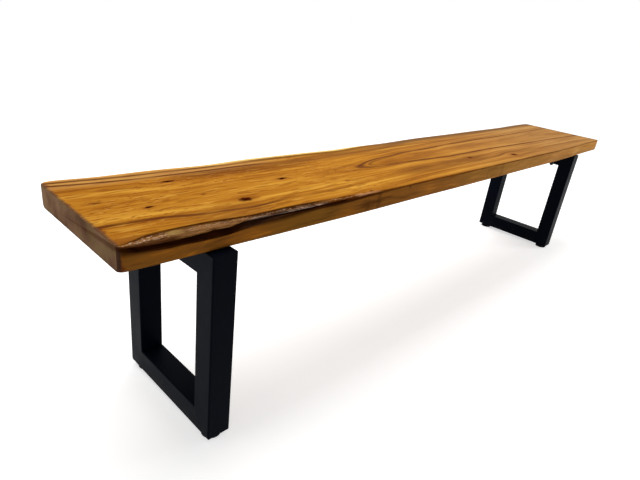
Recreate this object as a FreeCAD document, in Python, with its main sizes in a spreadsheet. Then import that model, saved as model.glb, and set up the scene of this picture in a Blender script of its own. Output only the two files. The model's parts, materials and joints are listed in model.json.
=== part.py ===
import FreeCAD, Part
import math
import os

import Sketcher

# A live-edge bench: one hardwood slab on two closed frames of mitred square tube.
# Millimetres. X runs along the bench, Y to its back, Z up from the floor.
# The origin lies on the floor, under the middle of the bench.

Vector = FreeCAD.Vector
Rotation = FreeCAD.Rotation

SIZES = [
    ("seat_height", 450),
    ("slab_length", 2090),
    ("slab_width", 342),
    ("slab_thick", 44),
    ("front_corner_round", 9),
    ("rear_corner_round", 15),
    ("under_round", 8),
    ("rear_round", 3),
    ("wane_depth", 28),
    ("wane_drop", 7),
    ("lip_back", 4),
    ("groove_depth", 15),
    ("groove_height", 13),
    ("left_overhang", 143),
    ("right_overhang", 218),
    ("front_inset", 2),
    ("rear_inset", 30),
    ("tube_size", 50),
    ("tube_wall", 2),
    ("tube_round", 3),
    ("bolt_inset", 35),
    ("bolt_dia", 8),
    ("bolt_bite", 17),
    ("bolt_hole_dia", 9),
    ("bolt_head_dia", 13),
    ("bolt_head_height", 8),
    ("bolt_key", 6),
    ("bolt_key_depth", 4),
    ("bolt_bevel", 1),
    ("washer_dia", 20),
    ("washer_hole_dia", 8.4),
    ("washer_thick", 2),
    ("insert_dia", 12),
    ("insert_length", 20),
    ("insert_spare", 3),
    ("fit_gap", 0.05),
    ("foot_height", 12),
    ("foot_inset", 26),
    ("foot_dia", 40),
    ("foot_rim", 4),
    ("foot_cone", 2),
    ("foot_neck_dia", 26),
    ("foot_bevel", 1),
    ("foot_key", 17),
    ("foot_key_height", 3),
    ("stud_dia", 8),
    ("stud_length", 30),
    ("stud_seat", 6),
    ("stud_bevel", 1),
    ("nut_flange_dia", 14),
    ("nut_flange_thick", 1.2),
    ("nut_dia", 11),
    ("nut_length", 15),
    ("nut_bulge_dia", 13.6),
    ("nut_bulge_height", 4),
    ("overrun", 6),
]

# The natural edges, as shares of the slab's length and width, chosen along the two edges.
REAR_EDGE_shares = [
    (-0.5, 0.497), (-0.487, 0.5), (-0.467, 0.485), (-0.435, 0.474), (-0.4, 0.471), (-0.361, 0.451),
    (-0.333, 0.444), (-0.3, 0.456), (-0.247, 0.45), (-0.19, 0.436), (-0.147, 0.423), (-0.097, 0.43),
    (-0.044, 0.424), (0.021, 0.441), (0.06, 0.448), (0.128, 0.446), (0.211, 0.448), (0.305, 0.448),
    (0.36, 0.447), (0.422, 0.465), (0.483, 0.469), (0.5, 0.467),
]
FRONT_EDGE_shares = [
    (-0.5, -0.428), (-0.48, -0.437), (-0.45, -0.442), (-0.403, -0.447), (-0.365, -0.455), (-0.322, -0.461),
    (-0.273, -0.469), (-0.216, -0.474), (-0.148, -0.476), (-0.068, -0.483), (-0.005, -0.486), (0.106, -0.492),
    (0.199, -0.496), (0.256, -0.5), (0.36, -0.493), (0.445, -0.482), (0.5, -0.48),
]
# The wane along the front: (share of length, share of wane_depth, share of lip_back).
WANE_shares = [
    (-0.5, 0.25, 0.3), (-0.488, 0.52, 0.5), (-0.476, 0.88, 0.7), (-0.462, 1, 0.8), (-0.45, 1, 0.9),
    (-0.419, 0.9, 1), (-0.388, 0.65, 1), (-0.357, 0.72, 1), (-0.294, 0.55, 0.8), (-0.247, 0.38, 0.6),
    (-0.19, 0.08, 0.15), (-0.1, 0.06, 0.1), (0.02, 0.05, 0.1), (0.25, 0.07, 0.1), (0.5, 0.05, 0.1),
]
WANE_STEPS = 5
# How steep the wane starts at its shoulder, as a share of a quarter turn.
WANE_START_share = 0.28
# The bark groove under the wane's lip: (share of length, share of groove_depth, share of groove_height).
GROOVE_shares = [
    (-0.5, 0.25, 0.15), (-0.49, 0.5, 0.38), (-0.481, 0.7, 0.58), (-0.471, 0.85, 0.78), (-0.45, 1, 0.8),
    (-0.425, 1, 0.95), (-0.411, 0.9, 0.9), (-0.395, 0.75, 0.58), (-0.378, 0.6, 0.35), (-0.35, 0.55, 0.3),
    (-0.3, 0.5, 0.3), (-0.28, 0.35, 0.22), (-0.262, 0.1, 0.1),
]
# The groove's deepest line lies this share of the groove's height under the lip.
GROOVE_APEX_share = 0.3

doc = FreeCAD.newDocument("Bench")
sheet = doc.addObject("Spreadsheet::Sheet", "Sizes")
for row, (alias, value) in enumerate(SIZES, start=1):
    sheet.set("A%d" % row, alias)
    sheet.set("B%d" % row, str(value))
    sheet.setAlias("B%d" % row, alias)
doc.recompute()

size = {alias: float(sheet.get(alias)) for alias, value in SIZES}
parts = []


def origin_feature(body, role):
    """A body's own origin plane or axis."""
    return next(feature for feature in body.Origin.OriginFeatures if feature.Role == role)


def new_body(name, places=None, rotation=Rotation()):
    """A body whose place is bound to the sheet, one expression for each axis."""
    body = doc.addObject("PartDesign::Body", name)
    body.Label = name
    body.Placement = FreeCAD.Placement(Vector(), rotation)
    for axis, place in zip("xyz", places or ()):
        body.setExpression("Placement.Base." + axis, place)
    return body


def new_sketch(body, name, role, lift=None):
    """A sketch on one of the body's origin planes, lifted off it where asked."""
    sketch = body.newObject("Sketcher::SketchObject", name)
    sketch.AttachmentSupport = [(origin_feature(body, role), "")]
    sketch.MapMode = "FlatFace"
    if lift:
        sketch.setExpression("AttachmentOffset.Base.z", lift)
    return sketch


def bind(sketch, kind, *places, to):
    """One constraint whose value comes from the sheet."""
    index = sketch.addConstraint(Sketcher.Constraint(kind, *places, 1.0))
    sketch.setExpression("Constraints[%d]" % index, to)


def add_polygon(sketch, corners):
    """A closed outline; each corner is a pair of expressions, measured from the sketch's origin."""
    turn = 2 * math.pi / len(corners)
    ring = [Vector(math.cos(turn * i), math.sin(turn * i), 0) for i in range(len(corners))]
    first = sketch.GeometryCount
    for start, end in zip(ring, ring[1:] + ring[:1]):
        sketch.addGeometry(Part.LineSegment(start, end))
    for i in range(len(corners)):
        after = (i + 1) % len(corners)
        sketch.addConstraint(Sketcher.Constraint("Coincident", first + i, 2, first + after, 1))
    for i, (across, up) in enumerate(corners):
        bind(sketch, "DistanceX", -1, 1, first + i, 1, to=across)
        bind(sketch, "DistanceY", -1, 1, first + i, 1, to=up)


def add_circle(sketch, radius, across="0", up="0"):
    """A circle with its radius and centre bound to the sheet."""
    index = sketch.addGeometry(Part.Circle(Vector(1, 1, 0), Vector(0, 0, 1), 1))
    bind(sketch, "Radius", index, to=radius)
    bind(sketch, "DistanceX", -1, 1, index, 3, to=across)
    bind(sketch, "DistanceY", -1, 1, index, 3, to=up)


def add_hexagon(sketch, across_flats):
    """A hexagon about the sketch's origin, given its width across flats."""
    corners = []
    for i in range(6):
        angle = 60 * i
        corners.append(tuple("%s / sqrt(3) * %s(%d deg)" % (across_flats, turn, angle) for turn in ("cos", "sin")))
    add_polygon(sketch, corners)


def pad(body, sketch, name, length):
    feature = body.newObject("PartDesign::Pad", name)
    feature.Profile = sketch
    feature.setExpression("Length", length)
    return feature


def pocket(body, sketch, name, through=False, length=None, reverse=False):
    """A cut from the sketch's plane: both ways through everything, or one way."""
    feature = body.newObject("PartDesign::Pocket", name)
    feature.Profile = sketch
    feature.Reversed = reverse
    if length:
        feature.setExpression("Length", length)
    else:
        feature.Type = "ThroughAll"
        feature.Midplane = through
    return feature


def revolve(body, sketch, name):
    feature = body.newObject("PartDesign::Revolution", name)
    feature.Profile = sketch
    feature.ReferenceAxis = (sketch, ["V_Axis"])
    feature.Angle = 360
    return feature


def round_edges(body, base, name, radius, wanted):
    """A fillet on every edge of the base that the test wants."""
    doc.recompute()
    names = ["Edge%d" % (i + 1) for i, edge in enumerate(base.Shape.Edges) if wanted(edge)]
    feature = body.newObject("PartDesign::Fillet", name)
    feature.Base = (base, names)
    feature.setExpression("Radius", radius)
    return feature


def row_of(body, features, count, length):
    """Copies of the features in a row along the body's Y axis, each a separate solid."""
    body.AllowCompound = True
    pattern = body.newObject("PartDesign::LinearPattern", "Row")
    pattern.Originals = features
    pattern.Direction = (origin_feature(body, "Y_Axis"), [""])
    pattern.setExpression("Length", length)
    pattern.Occurrences = count
    body.Tip = pattern


def is_upright(edge):
    """Whether a straight edge runs along the body's own Z axis."""
    if not isinstance(edge.Curve, Part.Line):
        return False
    ends = [vertex.Point for vertex in edge.Vertexes]
    return (ends[0] - ends[1]).cross(Vector(0, 0, 1)).Length < size["fit_gap"]


# The leg frames

FRAME_HEIGHT = "(Sizes.seat_height - Sizes.slab_thick - Sizes.foot_height)"
FRAME_X = {
    "left": "(-Sizes.slab_length / 2 + Sizes.left_overhang + Sizes.tube_size / 2)",
    "right": "(Sizes.slab_length / 2 - Sizes.right_overhang - Sizes.tube_size / 2)",
}
FRAME_WIDTH = "(Sizes.slab_width - Sizes.front_inset - Sizes.rear_inset)"
FRAME_FRONT_Y = "(-Sizes.slab_width / 2 + Sizes.front_inset)"
FRAME_REAR_Y = "(Sizes.slab_width / 2 - Sizes.rear_inset)"
FRAME_MIDDLE_Y = "((Sizes.front_inset - Sizes.rear_inset) / 2)"
BOLT_STEP = "(" + FRAME_WIDTH + " / 2 - Sizes.tube_size - Sizes.bolt_inset)"
SLAB_UNDERSIDE = "(Sizes.seat_height - Sizes.slab_thick)"
HALF_TUBE = "Sizes.tube_size / 2"


def mitred_tube(name, length, places, rotation):
    """One frame member. Its own Z runs along it, its own X points to the inside of the frame."""
    body = new_body(name, places, rotation)
    section = new_sketch(body, "Section", "XY_Plane")
    outer = "(Sizes.tube_size / 2)"
    add_polygon(section, [("-" + outer, "-" + outer), (outer, "-" + outer), (outer, outer), ("-" + outer, outer)])
    bar = pad(body, section, "Bar", length)
    rounded = round_edges(body, bar, "OuterRound", "Sizes.tube_round", is_upright)

    hollow = new_sketch(body, "Hollow", "XY_Plane")
    inner = "(Sizes.tube_size / 2 - Sizes.tube_wall)"
    add_polygon(hollow, [("-" + inner, "-" + inner), (inner, "-" + inner), (inner, inner), ("-" + inner, inner)])
    tube = pocket(body, hollow, "Tube", through=True)
    doc.recompute()
    if tube.Shape.Volume >= rounded.Shape.Volume:
        raise RuntimeError(name + " was not hollowed")

    low = "(-Sizes.tube_size / 2 - Sizes.overrun)"
    high = "(Sizes.tube_size / 2 + Sizes.overrun)"
    start = new_sketch(body, "StartMitre", "XZ_Plane")
    add_polygon(start, [
        (low, "-Sizes.overrun"),
        (high, "-Sizes.overrun"),
        (high, "Sizes.tube_size + Sizes.overrun"),
    ])
    pocket(body, start, "StartCut", through=True)
    end = new_sketch(body, "EndMitre", "XZ_Plane")
    add_polygon(end, [
        (low, length + " + Sizes.overrun"),
        (high, length + " - Sizes.tube_size - Sizes.overrun"),
        (high, length + " + Sizes.overrun"),
    ])
    body.Tip = pocket(body, end, "EndCut", through=True)
    parts.append(body)
    return body


def drill(body, name, holes, both_walls, dia):
    """Round holes square to the frame member, at the given places along it."""
    doc.recompute()
    before = body.Tip.Shape.Volume
    sketch = new_sketch(body, name + "Places", "YZ_Plane")
    for place in holes:
        add_circle(sketch, dia + " / 2", up=place)
    cut = pocket(body, sketch, name, through=both_walls)
    body.Tip = cut
    doc.recompute()
    if cut.Shape.Volume >= before:
        raise RuntimeError(body.Name + " was not drilled")


def leg_frame(side):
    """Four mitred members round one opening, with the holes for the bolts and the foot nuts."""
    x = FRAME_X[side]
    along_y = Vector(0, 1, 0)
    up = Vector(0, 0, 1)
    mitred_tube(
        side + "_front_post", FRAME_HEIGHT,
        (x, FRAME_FRONT_Y + " + " + HALF_TUBE, "Sizes.foot_height"), Rotation(along_y, Vector(), up, "ZXY"))
    mitred_tube(
        side + "_rear_post", FRAME_HEIGHT,
        (x, FRAME_REAR_Y + " - " + HALF_TUBE, "Sizes.foot_height"), Rotation(-along_y, Vector(), up, "ZXY"))

    bottom = mitred_tube(
        side + "_bottom_rail", FRAME_WIDTH,
        (x, FRAME_FRONT_Y, "Sizes.foot_height + " + HALF_TUBE), Rotation(up, Vector(), along_y, "ZXY"))
    drill(bottom, "NutHoles", ("Sizes.foot_inset", FRAME_WIDTH + " - Sizes.foot_inset"), False,
          "(Sizes.nut_dia + 2 * Sizes.fit_gap)")

    top = mitred_tube(
        side + "_top_rail", FRAME_WIDTH,
        (x, FRAME_FRONT_Y, SLAB_UNDERSIDE + " - " + HALF_TUBE), Rotation(-up, Vector(), along_y, "ZXY"))
    middle = FRAME_WIDTH + " / 2"
    drill(top, "BoltHoles", (middle + " - " + BOLT_STEP, middle, middle + " + " + BOLT_STEP), True,
          "Sizes.bolt_hole_dia")


# The fixings between frame and slab

FIRST_BOLT_Y = "(" + FRAME_MIDDLE_Y + " - " + BOLT_STEP + ")"
BOLT_COUNT = 3
RAIL_UNDERSIDE = "(" + SLAB_UNDERSIDE + " - Sizes.tube_size)"


def bolt_row(side):
    """Socket-head bolts standing up through the top rail; their own zero is under the head."""
    places = (FRAME_X[side], FIRST_BOLT_Y, RAIL_UNDERSIDE + " - Sizes.washer_thick")
    body = new_body(side + "_bolts", places)
    profile = new_sketch(body, "Profile", "XZ_Plane")
    head = "Sizes.bolt_head_dia / 2"
    shank = "Sizes.bolt_dia / 2"
    length = "(Sizes.washer_thick + Sizes.tube_size + Sizes.bolt_bite)"
    add_polygon(profile, [
        ("0", "-Sizes.bolt_head_height"),
        (head + " - Sizes.bolt_bevel", "-Sizes.bolt_head_height"),
        (head, "-Sizes.bolt_head_height + Sizes.bolt_bevel"),
        (head, "0"),
        (shank, "0"),
        (shank, length + " - Sizes.bolt_bevel"),
        (shank + " - Sizes.bolt_bevel", length),
        ("0", length),
    ])
    turned = revolve(body, profile, "Turned")
    key = new_sketch(body, "Key", "XY_Plane", lift="-Sizes.bolt_head_height")
    add_hexagon(key, "Sizes.bolt_key")
    socket = pocket(body, key, "Socket", length="Sizes.bolt_key_depth", reverse=True)
    doc.recompute()
    if socket.Shape.Volume >= turned.Shape.Volume:
        raise RuntimeError(body.Name + " has no socket")
    row_of(body, [turned, socket], BOLT_COUNT, "2 * " + BOLT_STEP)
    parts.append(body)


def ring_row(side, name, height, outer_dia, inner_dia, thick):
    """A row of plain rings round the bolts, standing on the given height."""
    body = new_body(side + name, (FRAME_X[side], FIRST_BOLT_Y, height))
    profile = new_sketch(body, "Profile", "XZ_Plane")
    outer = outer_dia + " / 2"
    inner = inner_dia + " / 2"
    add_polygon(profile, [(inner, "0"), (outer, "0"), (outer, thick), (inner, thick)])
    row_of(body, [revolve(body, profile, "Turned")], BOLT_COUNT, "2 * " + BOLT_STEP)
    parts.append(body)


# The levelling feet; each one's own zero is where its axis meets the floor

def foot_base(name, places):
    """A nylon disc with a coned top and a hexagonal collar for a spanner."""
    body = new_body(name, places)
    profile = new_sketch(body, "Profile", "XZ_Plane")
    rim = "Sizes.foot_dia / 2"
    add_polygon(profile, [
        ("0", "0"),
        (rim + " - Sizes.foot_bevel", "0"),
        (rim, "Sizes.foot_bevel"),
        (rim, "Sizes.foot_rim"),
        ("Sizes.foot_neck_dia / 2", "Sizes.foot_rim + Sizes.foot_cone"),
        ("0", "Sizes.foot_rim + Sizes.foot_cone"),
    ])
    revolve(body, profile, "Disc")
    hexagon = new_sketch(body, "Hexagon", "XY_Plane", lift="Sizes.foot_rim")
    add_hexagon(hexagon, "Sizes.foot_key")
    collar = pad(body, hexagon, "Collar", "Sizes.foot_cone + Sizes.foot_key_height")
    top = "(Sizes.foot_rim + Sizes.foot_cone + Sizes.foot_key_height)"
    seat = new_sketch(body, "Seat", "XY_Plane", lift=top)
    add_circle(seat, "Sizes.stud_dia / 2 + Sizes.fit_gap")
    bore = pocket(body, seat, "Bore", length="Sizes.stud_seat")
    doc.recompute()
    if bore.Shape.Volume >= collar.Shape.Volume:
        raise RuntimeError(name + " has no seat for its stud")
    parts.append(body)


def foot_stud(name, places):
    """The threaded stud, moulded into the base and bevelled at its tip."""
    body = new_body(name, places)
    profile = new_sketch(body, "Profile", "XZ_Plane")
    seat = "(Sizes.foot_rim + Sizes.foot_cone + Sizes.foot_key_height - Sizes.stud_seat)"
    radius = "Sizes.stud_dia / 2"
    tip = seat + " + Sizes.stud_length"
    add_polygon(profile, [
        ("0", seat),
        (radius, seat),
        (radius, tip + " - Sizes.stud_bevel"),
        (radius + " - Sizes.stud_bevel", tip),
        ("0", tip),
    ])
    revolve(body, profile, "Turned")
    parts.append(body)


def foot_nut(name, places):
    """The rivet nut that grips the rail's lower wall between its flange and its bulge."""
    body = new_body(name, places)
    profile = new_sketch(body, "Profile", "XZ_Plane")
    bore = "Sizes.stud_dia / 2 + Sizes.fit_gap"
    barrel = "Sizes.nut_dia / 2"
    wall = "Sizes.foot_height + Sizes.tube_wall"
    add_polygon(profile, [
        (bore, "Sizes.foot_height - Sizes.nut_flange_thick"),
        ("Sizes.nut_flange_dia / 2", "Sizes.foot_height - Sizes.nut_flange_thick"),
        ("Sizes.nut_flange_dia / 2", "Sizes.foot_height"),
        (barrel, "Sizes.foot_height"),
        (barrel, wall),
        ("Sizes.nut_bulge_dia / 2", wall),
        ("Sizes.nut_bulge_dia / 2", wall + " + Sizes.nut_bulge_height"),
        (barrel, wall + " + Sizes.nut_bulge_height"),
        (barrel, "Sizes.foot_height + Sizes.nut_length"),
        (bore, "Sizes.foot_height + Sizes.nut_length"),
    ])
    revolve(body, profile, "Turned")
    parts.append(body)


def levelling_foot(side, end, y):
    name = side + "_" + end + "_foot"
    places = (FRAME_X[side], y, "0")
    foot_base(name + "_base", places)
    foot_stud(name + "_stud", places)
    foot_nut(name + "_nut", places)


# The slab

def edge_curve(shares):
    """A natural edge in plan: a smooth curve through its places."""
    curve = Part.BSplineCurve()
    curve.interpolate([Vector(x * size["slab_length"], y * size["slab_width"], 0) for x, y in shares])
    return curve


def edge_y(curve, x):
    """The edge's Y at a given X, found by halving; X only grows along the curve."""
    low, high = curve.FirstParameter, curve.LastParameter
    for _ in range(50):
        middle = (low + high) / 2
        if curve.value(middle).x < x:
            low = middle
        else:
            high = middle
    return curve.value((low + high) / 2).y


def slab_board(front, rear):
    """The sawn board: its plan outline padded to its thickness, long edges rounded."""
    body = new_body("board", ("0", "0", SLAB_UNDERSIDE))
    plan = new_sketch(body, "Plan", "XY_Plane")
    half = size["slab_length"] / 2
    corners = [curve.value(at) for curve in (front, rear) for at in (curve.FirstParameter, curve.LastParameter)]
    front_left, front_right, rear_left, rear_right = corners
    plan.addGeometry([front, Part.LineSegment(front_right, rear_right), rear,
                      Part.LineSegment(rear_left, front_left)])
    board = pad(body, plan, "Board", "Sizes.slab_thick")

    def is_long(edge):
        return edge.BoundBox.XLength > half

    def is_long_and_low(edge):
        return is_long(edge) and edge.BoundBox.ZMax < size["slab_thick"] / 2

    def is_long_and_high_at_rear(edge):
        return is_long(edge) and edge.BoundBox.ZMin > size["slab_thick"] / 2 and edge.BoundBox.YMin > 0

    under = round_edges(body, board, "UnderRound", "Sizes.under_round", is_long_and_low)
    body.Tip = round_edges(body, under, "RearRound", "Sizes.rear_round", is_long_and_high_at_rear)
    return body


def wane_level(front, across, height):
    """The wane's outline in plan at one height, between its shoulder and its lip."""
    inner = []
    for i, (place, depth, lip) in enumerate(WANE_shares):
        x = place * size["slab_length"]
        face = edge_y(front, x)
        shoulder_y = face + depth * size["wane_depth"]
        lip_y = face + lip * size["lip_back"]
        if i == 0:
            x -= size["overrun"]
        if i == len(WANE_shares) - 1:
            x += size["overrun"]
        inner.append(Vector(x, shoulder_y + across * (lip_y - shoulder_y), height))
    curve = Part.BSplineCurve()
    curve.interpolate(inner)
    outside = -size["slab_width"] / 2 - size["overrun"]
    left = Vector(inner[0].x, outside, height)
    right = Vector(inner[-1].x, outside, height)
    return Part.Wire([curve.toShape(), Part.makeLine(inner[-1], right), Part.makeLine(right, left),
                      Part.makeLine(left, inner[0])])


def wane_cutter(front):
    """What the wane takes off the top front arris, from a deep hollow at the left to a soft roll.

    Its slope is part of an ellipse, from its angle at the shoulder to upright at the lip.
    """
    top = size["seat_height"]
    start = WANE_START_share * math.pi / 2
    levels = [wane_level(front, 0, top + size["overrun"])]
    for step in range(WANE_STEPS + 1):
        angle = start + (math.pi / 2 - start) * step / WANE_STEPS
        across = (math.sin(angle) - math.sin(start)) / (1 - math.sin(start))
        down = (math.cos(start) - math.cos(angle)) / math.cos(start)
        levels.append(wane_level(front, across, top - down * size["wane_drop"]))
    cutter = doc.addObject("Part::Feature", "wane")
    cutter.Shape = Part.makeLoft(levels, True, True)
    return cutter


def groove_cutter(front):
    """The bark groove that undercuts the wane's lip and runs out to nothing."""
    wires = []
    outside = -size["slab_width"] / 2 - size["overrun"]
    for i, (place, depth, height) in enumerate(GROOVE_shares):
        x = place * size["slab_length"]
        face = edge_y(front, x)
        if i == 0:
            x -= size["overrun"]
        lip_z = size["seat_height"] - size["wane_drop"]
        tall = height * size["groove_height"]
        apex = Vector(x, face + depth * size["groove_depth"], lip_z - tall * GROOVE_APEX_share)
        reach = (apex.y - outside) / (apex.y - face)
        upper = apex + (Vector(x, face, lip_z) - apex) * reach
        lower = apex + (Vector(x, face, lip_z - tall) - apex) * reach
        wires.append(Part.makePolygon([apex, upper, lower, apex]))
    cutter = doc.addObject("Part::Feature", "groove")
    cutter.Shape = Part.makeLoft(wires, True, False)
    return cutter


def corner_tool(corner, radius, along_end, along_edge):
    """What rounds one upright corner of the board, tangent to its end and to its natural edge."""
    opening = along_end.getAngle(along_edge)
    reach = radius / math.tan(opening / 2)
    bisector = (along_end + along_edge).normalize()
    end_point = corner + along_end * reach
    edge_point = corner + along_edge * reach
    nearest = corner + bisector * (radius / math.sin(opening / 2) - radius)
    outer = corner - (along_end + along_edge) * size["overrun"]
    edges = [
        Part.makeLine(end_point, outer),
        Part.makeLine(outer, edge_point),
        Part.Arc(edge_point, nearest, end_point).toShape(),
    ]
    face = Part.Face(Part.Wire(edges))
    face.translate(Vector(0, 0, size["seat_height"] - size["slab_thick"] - size["overrun"]))
    return face.extrude(Vector(0, 0, size["slab_thick"] + 2 * size["overrun"]))


def corner_cutter(front, rear):
    """All four corner tools."""
    tools = []
    edges = (
        (front, size["front_corner_round"], Vector(0, 1, 0)),
        (rear, size["rear_corner_round"], Vector(0, -1, 0)),
    )
    for curve, radius, inward in edges:
        for at, way in ((curve.FirstParameter, 1), (curve.LastParameter, -1)):
            tangent = curve.tangent(at)[0] * way
            tools.append(corner_tool(curve.value(at), radius, inward, tangent))
    cutter = doc.addObject("Part::Feature", "corners")
    cutter.Shape = Part.makeCompound(tools)
    return cutter


def insert_holes():
    """Blind holes in the slab's underside, one for each threaded insert."""
    holes = []
    for side in FRAME_X:
        for i, step in enumerate((" - " + BOLT_STEP, "", " + " + BOLT_STEP)):
            hole = doc.addObject("Part::Cylinder", "%s_insert_hole_%d" % (side, i + 1))
            hole.setExpression("Radius", "Sizes.insert_dia / 2 + Sizes.fit_gap")
            hole.setExpression("Height", "Sizes.overrun + Sizes.insert_length + Sizes.insert_spare")
            hole.setExpression("Placement.Base.x", FRAME_X[side])
            hole.setExpression("Placement.Base.y", FRAME_MIDDLE_Y + step)
            hole.setExpression("Placement.Base.z", SLAB_UNDERSIDE + " - Sizes.overrun")
            holes.append(hole)
    return holes


def cut_from(base, tool, name):
    cut = doc.addObject("Part::Cut", name)
    cut.Base = base
    cut.Tool = tool
    return cut


def seat_slab():
    """The board with its wane, bark groove, rounded corners and insert holes."""
    front = edge_curve(FRONT_EDGE_shares)
    rear = edge_curve(REAR_EDGE_shares)
    slab = slab_board(front, rear)
    cutters = [wane_cutter(front), groove_cutter(front), corner_cutter(front, rear)] + insert_holes()
    for i, cutter in enumerate(cutters, start=1):
        slab = cut_from(slab, cutter, "slab_cut_%d" % i)
    slab.Label = "seat_slab"
    parts.append(slab)


seat_slab()
for side in FRAME_X:
    leg_frame(side)
    bolt_row(side)
    ring_row(side, "_washers", RAIL_UNDERSIDE + " - Sizes.washer_thick",
             "Sizes.washer_dia", "Sizes.washer_hole_dia", "Sizes.washer_thick")
    ring_row(side, "_inserts", SLAB_UNDERSIDE,
             "Sizes.insert_dia", "(Sizes.bolt_dia + 2 * Sizes.fit_gap)", "Sizes.insert_length")
    levelling_foot(side, "front", FRAME_FRONT_Y + " + Sizes.foot_inset")
    levelling_foot(side, "rear", FRAME_REAR_Y + " - Sizes.foot_inset")

doc.recompute()
for item in doc.Objects:
    if "Invalid" in item.State or "Error" in item.State:
        raise RuntimeError(item.Label + " failed: " + ", ".join(item.State))
for part in parts:
    if part.Shape.isNull() or not part.Shape.isValid():
        raise RuntimeError(part.Label + " has no valid shape")

os.makedirs("parts", exist_ok=True)
for part in parts:
    part.Shape.exportStep("parts/%s.step" % part.Label)
    box = part.Shape.optimalBoundingBox()
    print("%-24s solids %d  volume %10.1f  x %8.2f %8.2f  y %8.2f %8.2f  z %7.2f %7.2f" % (
        part.Label, len(part.Shape.Solids), part.Shape.Volume,
        box.XMin, box.XMax, box.YMin, box.YMax, box.ZMin, box.ZMax))
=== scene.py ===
import json
import math
from types import SimpleNamespace

import bpy
import numpy as np
from mathutils import Matrix, Vector


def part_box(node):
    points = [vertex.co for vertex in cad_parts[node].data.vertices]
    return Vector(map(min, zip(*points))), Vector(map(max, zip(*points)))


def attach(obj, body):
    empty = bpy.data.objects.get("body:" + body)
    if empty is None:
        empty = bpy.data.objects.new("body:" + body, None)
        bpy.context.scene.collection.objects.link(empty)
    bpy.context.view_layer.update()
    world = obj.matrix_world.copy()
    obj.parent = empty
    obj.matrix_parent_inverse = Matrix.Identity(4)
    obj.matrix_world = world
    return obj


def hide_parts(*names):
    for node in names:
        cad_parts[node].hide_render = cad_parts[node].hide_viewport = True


# A live-edge bench: an oiled hardwood slab on two frames of black square tube.
# Metres, in the part's own frame: X along the bench, Y to its back, Z up from the floor. The tables of the wood's
# figure, and all that fade_mm, span and patches are given, are in millimetres.

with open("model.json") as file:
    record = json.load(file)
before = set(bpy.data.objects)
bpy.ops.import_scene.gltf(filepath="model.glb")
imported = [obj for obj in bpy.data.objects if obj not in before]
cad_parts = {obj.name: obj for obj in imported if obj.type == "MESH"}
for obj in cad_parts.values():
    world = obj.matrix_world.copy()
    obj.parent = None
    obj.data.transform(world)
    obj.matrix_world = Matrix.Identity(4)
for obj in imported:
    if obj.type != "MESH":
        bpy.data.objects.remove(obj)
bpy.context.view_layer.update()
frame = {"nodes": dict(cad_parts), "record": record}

MM = 0.001

# The slab's box, and the cuts that shape it.
SLAB_LOW, SLAB_HIGH = (Vector(corner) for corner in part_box("seat_slab"))
SLAB_LENGTH = SLAB_HIGH.x - SLAB_LOW.x
SLAB_WIDTH = 342 * MM
SLAB_TOP = SLAB_HIGH.z
SLAB_THICK = SLAB_HIGH.z - SLAB_LOW.z
FRONT_CORNER_ROUND = 9 * MM
REAR_CORNER_ROUND = 15 * MM
UNDER_ROUND = 8 * MM
REAR_ROUND = 3 * MM
END_EASE = 1.2 * MM
WANE_DEPTH = 28 * MM
WANE_DROP = 10 * MM
WANE_START_SHARE = 0.28
LIP_BACK = 4 * MM
GROOVE_DEPTH = 15 * MM
GROOVE_HEIGHT = 13 * MM
GROOVE_APEX_SHARE = 0.3
ARRIS_SEAM = 0.4 * MM
# Long ridges and furrows in the bare wood.
WEATHERING = {"Depth": 2 * MM, "Ridge Length": 40 * MM, "Ridge Width": 6 * MM, "Seed": 3.0}

# The natural edges in plan, as shares of the slab's length and width.
REAR_EDGE_SHARES = [
    (-0.5, 0.497), (-0.487, 0.5), (-0.467, 0.485), (-0.435, 0.474), (-0.4, 0.471), (-0.361, 0.451),
    (-0.333, 0.444), (-0.3, 0.456), (-0.247, 0.45), (-0.19, 0.436), (-0.147, 0.423), (-0.097, 0.43),
    (-0.044, 0.424), (0.021, 0.441), (0.06, 0.448), (0.128, 0.446), (0.211, 0.448), (0.305, 0.448),
    (0.36, 0.447), (0.422, 0.465), (0.483, 0.469), (0.5, 0.467),
]
FRONT_EDGE_SHARES = [
    (-0.5, -0.428), (-0.48, -0.437), (-0.45, -0.442), (-0.403, -0.447), (-0.365, -0.455), (-0.322, -0.461),
    (-0.273, -0.469), (-0.216, -0.474), (-0.148, -0.476), (-0.068, -0.483), (-0.005, -0.486), (0.106, -0.492),
    (0.199, -0.496), (0.256, -0.5), (0.36, -0.493), (0.445, -0.482), (0.5, -0.48),
]
# Along the length: how deep the wane goes in from the front, how far down and how far back its lip stands.
WANE_DEPTH_SHARES = [
    (-0.5, 0.25), (-0.488, 0.52), (-0.476, 0.88), (-0.462, 1), (-0.45, 1), (-0.419, 0.9), (-0.388, 0.65),
    (-0.357, 0.72), (-0.294, 0.55), (-0.247, 0.38), (-0.19, 0.08), (-0.1, 0.06), (0.02, 0.05), (0.25, 0.07),
    (0.5, 0.05),
]
WANE_DROP_SHARES = [
    (-0.5, 0.3), (-0.49, 0.6), (-0.481, 0.78), (-0.472, 0.93), (-0.463, 1), (-0.442, 0.9), (-0.425, 0.76),
    (-0.411, 0.9), (-0.396, 0.4), (-0.381, 0.3), (-0.322, 0.35), (-0.266, 0.35), (-0.244, 0.25), (-0.2, 0.2),
    (-0.15, 0.15), (0.5, 0.15),
]
LIP_BACK_SHARES = [
    (-0.5, 0.3), (-0.476, 0.7), (-0.45, 0.9), (-0.419, 1), (-0.357, 1), (-0.294, 0.8), (-0.247, 0.6),
    (-0.19, 0.15), (-0.1, 0.1), (0.5, 0.1),
]
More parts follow.
